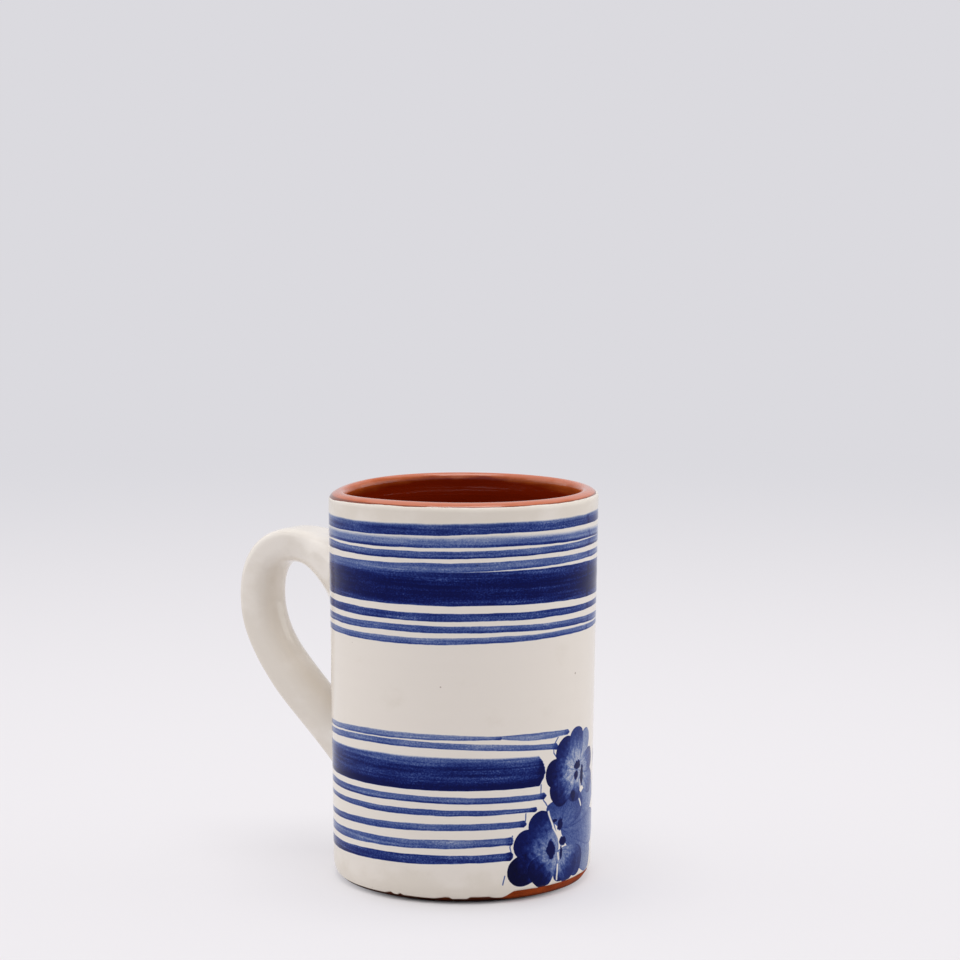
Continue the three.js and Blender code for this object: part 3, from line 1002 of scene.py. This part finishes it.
# %% Rows of the strap
CROWN_DEEP = 11 * MM
REACH_DEEP = 11.2 * MM
TAIL_DEEP = 12.2 * MM
STRAP_WIDE = 14.8 * MM
UPPER_ROOT = {"deep": 15 * MM, "wide": 23 * MM, "share": 0.2}
LOWER_ROOT = {"deep": 11.8 * MM, "wide": 17 * MM, "share": 0.15}
SWELL_POWER = 3
UPPER_FOOT = Vector((85.0, 18.6, 18.5)) * MM
LOWER_FOOT = Vector((34.5, 12.5, 12.5)) * MM
FOOT_STARTS = (0.035, 0.94)
STRAP_ROWS = 80
FOOT_ROWS = 20
LOOK_BACK = 1


def plain_depth(share):
    sizes = (CROWN_DEEP, CROWN_DEEP, REACH_DEEP, REACH_DEEP, TAIL_DEEP, TAIL_DEEP)
    place = share * (len(sizes) - 1)
    before = min(int(place), len(sizes) - 2)
    part = place - before
    return between(sizes[before], sizes[before + 1], part * part * (3 - 2 * part))


def strap_row(share):
    centre, forward = on_path(share)
    upper = max(0.0, 1 - share / UPPER_ROOT["share"]) ** SWELL_POWER
    lower = max(0.0, 1 - (1 - share) / LOWER_ROOT["share"]) ** SWELL_POWER
    plain = plain_depth(share)
    thick = plain + upper * (UPPER_ROOT["deep"] - plain) + lower * (LOWER_ROOT["deep"] - plain)
    wide = STRAP_WIDE + upper * (UPPER_ROOT["wide"] - STRAP_WIDE) + lower * (LOWER_ROOT["wide"] - STRAP_WIDE)
    square = Vector((-forward.y, forward.x))
    upright = Vector((0, math.copysign(upper + lower, square.y)))
    lean = (square * (1 - upper - lower) + upright).normalized()
    return {
        "centre": (centre.x, 0.0, centre.y), "lean": (lean.x, 0.0, lean.y),
        "deep": thick / lean.dot(square), "wide": wide,
        "foot": (0.0, 0.0, 0.0), "settled": 0.0, "shrunk": 0.0,
    }


def foot_rows(face, foot):
    """Rows that carry on from an end face of the strap until they lie flat on the wall, and close there."""
    side = math.copysign(1, face["lean"][2])
    place = {"foot": (foot.x, foot.y * side, foot.z)}
    rows = [{**face, **place, "settled": (step + 1) / FOOT_ROWS} for step in range(FOOT_ROWS)]
    return [*rows, {**rows[-1], "shrunk": 1.0}]


strap = [strap_row(between(*FOOT_STARTS, step / STRAP_ROWS)) for step in range(STRAP_ROWS + 1)]
strap_rows = [*reversed(foot_rows(strap[0], UPPER_FOOT)), *strap, *foot_rows(strap[-1], LOWER_FOOT)]
first_face = FOOT_ROWS + 1
last_face = first_face + STRAP_ROWS
for number, row in enumerate(strap_rows):
    row["face"] = float(min(max(number, first_face), last_face))
    row["before"] = float(min(max(number, first_face + LOOK_BACK), last_face - LOOK_BACK))
print(len(strap_rows), "rows from one foot to the other")

# %% [markdown]
# The tree reads those rows, sets a rounded section on each and bends the last rows on to the wall.
# There it works in wall measures: an angle round the cup, a height, and a distance off the wall.
# Each line of the strap runs on to where it would meet the wall, and turns off along it: a simple curve of
# three points, so the clay leaves the strap straight and lies flat on the wall where it ends.

# %% A tree that lofts the strap
strap_tree, strap_in, strap_out = open_group("GeometryNodeTree", "pulled_strap", {
    "Rows": "NodeSocketGeometry", "Points Around": "NodeSocketInt",
    **floats("Outer Power", "Inner Power", "Wall Radius", "Wall Growth", "Sink", "Hand Marks"),
    "Material": "NodeSocketMaterial",
}, ("Skin", "NodeSocketGeometry"))
END_SINKS = 20


def loft():
    tree, given = strap_tree, strap_in
    size = add_node(tree, "GeometryNodeAttributeDomainSize", Geometry=given["Rows"])
    count = Field(tree, size.outputs["Point Count"])
    grid, across, along = lay_grid(tree, given["Points Around"] + 1, count)
    row = ((along + 0.5) * (count - 1)).math("ROUND")

    def read(name, index, kind="FLOAT"):
        """An attribute of the row with that number."""
        attribute = tree.nodes.new("GeometryNodeInputNamedAttribute")
        attribute.data_type = kind
        attribute.inputs["Name"].default_value = name
        sample = tree.nodes.new("GeometryNodeSampleIndex")
        sample.data_type = kind
        plug(tree, given["Rows"], sample.inputs["Geometry"])
        tree.links.new(attribute.outputs["Attribute"], sample.inputs["Value"])
        plug(tree, index, sample.inputs["Index"])
        return Field(tree, sample.outputs["Value"])

    def wall(height):
        return given["Wall Radius"] + given["Wall Growth"] * height

    angle = across * -math.tau
    cosine = angle.math("COSINE")
    sine = angle.math("SINE")
    power = between(given["Inner Power"], given["Outer Power"], cosine.math("GREATER_THAN", 0.0))

    def rounded(value):
        return value.math("SIGN") * value.math("ABSOLUTE") ** (power ** -1 * 2)

    marks = (noise(vector(cosine * 0.8, sine * 0.8, along * 9), 2) - 1) * given["Hand Marks"]

    def on_strap(index):
        """Height, turn round the cup and distance off the wall of a point of that row's section."""
        centre_out, _, centre_up = parts(read("centre", index, "FLOAT_VECTOR"))
        lean_out, _, lean_up = parts(read("lean", index, "FLOAT_VECTOR"))
        depth = rounded(cosine) * (read("deep", index) * 0.5 + marks)
        aside = rounded(sine) * (read("wide", index) * 0.5 + marks)
        out = centre_out + lean_out * depth
        up = centre_up + lean_up * depth
        return up, aside.math("ARCTAN2", out), (out * out + aside * aside) ** 0.5 - wall(up)

    face_up, face_turn, face_off = on_strap(read("face", row))
    back_up, back_turn, back_off = on_strap(read("before", row))
    settled = read("settled", row)
    steps = face_off / (back_off - face_off)
    meet_up = face_up + (face_up - back_up) * steps
    meet_turn = face_turn + (face_turn - back_turn) * steps
    foot_up, foot_tall, foot_wide = parts(read("foot", row, "FLOAT_VECTOR"))
    rest_up = foot_up + foot_tall * cosine
    rest_turn = foot_wide * sine / wall(rest_up)
    left = 1 - settled
    stays, turns, rests = left * left, left * settled * 2, settled * settled
    kept = 1 - read("shrunk", row)
    up = between(foot_up, face_up * stays + meet_up * turns + rest_up * rests, kept)
    turn = (face_turn * stays + meet_turn * turns + rest_turn * rests) * kept
    far = wall(up) + face_off * stays - given["Sink"] * rests - (1 - kept) * given["Sink"] * END_SINKS
    place = vector(far * turn.math("COSINE") * -1, far * turn.math("SINE"), up)
    return dress_grid(tree, grid, place, given["Material"])


close_group(strap_tree, loft(), strap_out)

# %% [markdown]
# The rows become the points of a mesh, because a tree can read attributes from points.
# Its sections are squarish outside and nearly oval inside, as the grip of a hand leaves them.

# %% Pull the handle
def rows_object(name, rows):
    """An object with one point for each row, and the row's values as attributes of that point."""
    piece = new_piece(name, [row["centre"] for row in rows])
    for label, value in rows[0].items():
        if isinstance(value, tuple):
            attribute = piece.data.attributes.new(label, "FLOAT_VECTOR", "POINT")
            attribute.data.foreach_set("vector", [part for row in rows for part in row[label]])
        else:
            attribute = piece.data.attributes.new(label, "FLOAT", "POINT")
            attribute.data.foreach_set("value", [row[label] for row in rows])
    return piece


handle = rows_object("pulled_strap_handle", strap_rows)
run_tree(handle, strap_tree, {
    "Points Around": 96, "Outer Power": 5.0, "Inner Power": 2.2,
    "Wall Radius": RADIUS_AT_TABLE + WHITE_COAT,
    "Wall Growth": (RADIUS_AT_RIM - RADIUS_AT_TABLE) / CUP_HEIGHT,
    "Sink": 0.15 * MM, "Hand Marks": 0.1 * MM, "Material": white_finish,
})
settle(handle, "white_glaze", "handle", "upper_handle_join", "lower_handle_join")

# %% [markdown]
# ## Floor
# The mug stands on pale paper. Just outside the foot the paper starts to glow, by about half and sooner on
# both
# sides of the picture: painted light that keeps the shadow soft. Far away it fades to the grey of the tent,
# so that no horizon shows.

# %% Floor
FLOOR_REACH = 40.0
PAPER = (0.775, 0.76, 0.76, 1)
PAPER_GLOW = (0.865, 0.84, 0.87, 1)
TENT = (0.708, 0.701, 0.738, 1)
TENT_FRONT = (0.63, 0.62, 0.655, 1)
GLOW_SHARES = (0.5, 0.58)
GLOW_STARTS = (36, 20)
GLOW_WIDTH = 20
FADE_FROM = 100
FADE_TO = 1150
PAPER_SHINE = 0.1


def paper():
    finish, tree, shader, (x, y, z) = new_finish("pale_paper")
    away = (x * x + y * y) ** 0.5
    far = rise(away, FADE_FROM, FADE_TO)
    fibre = noise(vector(x / 0.8, y / 0.8, z), 2)
    shader.inputs["Base Color"].default_value = PAPER
    plug(tree, fibre * 0.05 + 0.9, shader.inputs["Roughness"])
    shader.inputs["Specular IOR Level"].default_value = PAPER_SHINE
    glow = add_node(tree, "ShaderNodeEmission", Color=mottle(tree, far, PAPER_GLOW, TENT))
    fade = tree.nodes.new("ShaderNodeMixShader")
    side = side_share(x, y, away)
    start = between(*GLOW_STARTS, side)
    # Painted light: the paper glows from just outside the foot, sooner on both sides of the view, to lift the
    # mug's shadow.
    glowing = rise(away, start, start + GLOW_WIDTH) * between(*GLOW_SHARES, side)
    plug(tree, between(glowing, 1.0, far), fade.inputs[0])
    tree.links.new(shader.outputs[0], fade.inputs[1])
    tree.links.new(glow.outputs[0], fade.inputs[2])
    tree.links.new(fade.outputs[0], tree.nodes["Material Output"].inputs["Surface"])
    return finish


corners = [(x * FLOOR_REACH, y * FLOOR_REACH, 0) for x, y in ((-1, -1), (1, -1), (1, 1), (-1, 1))]
floor = new_piece("paper_floor", corners, faces=[(0, 1, 2, 3)])
floor.data.materials.append(paper())
print("floor", 2 * FLOOR_REACH, "m wide")

# %% [markdown]
# ## Light
# A tent gives soft light from all round, a little darker on the camera's side, and three panels add some from
# above and from the sides. All stay at a level at which a colour renders about as it is written.

# %% Light
scene.view_settings.view_transform = "Standard"
world = bpy.data.worlds.new("light_tent")
world.use_nodes = True
tent = world.node_tree.nodes["Background"]
direction = Field(world.node_tree, world.node_tree.nodes.new("ShaderNodeTexCoord").outputs["Generated"])
east, north, _ = parts(direction)
front = east * math.sin(CAMERA_SIDE) - north * math.cos(CAMERA_SIDE)
plug(world.node_tree, mottle(world.node_tree, rise(front, 0.0, 0.9), TENT, TENT_FRONT), tent.inputs["Color"])
scene.world = world


def panel(name, side, distance, height, wide, tall, watts):
    """A soft panel that faces the mug; side is its turn from the camera, in degrees, to the right."""
    lamp = bpy.data.lights.new(name, "AREA")
    lamp.shape = "RECTANGLE"
    lamp.size = wide
    lamp.size_y = tall
    lamp.energy = watts
    turn = CAMERA_SIDE + math.radians(side)
    place = Vector((distance * math.sin(turn), -distance * math.cos(turn), height))
    aim = Vector((0, 0, CUP_HEIGHT / 2)) - place
    light = bpy.data.objects.new(name, lamp)
    light.matrix_world = Matrix.Translation(place) @ aim.to_track_quat("-Z", "Y").to_matrix().to_4x4()
    scene.collection.objects.link(light)


panel("overhead_panel", side=0, distance=0.05, height=1.1, wide=0.6, tall=0.6, watts=5.0)
panel("left_panel", side=-100, distance=1.2, height=0.45, wide=1.2, tall=0.9, watts=2.9)
panel("right_panel", side=100, distance=1.2, height=0.45, wide=1.2, tall=0.9, watts=3.2)
print("three soft panels in a pale tent")
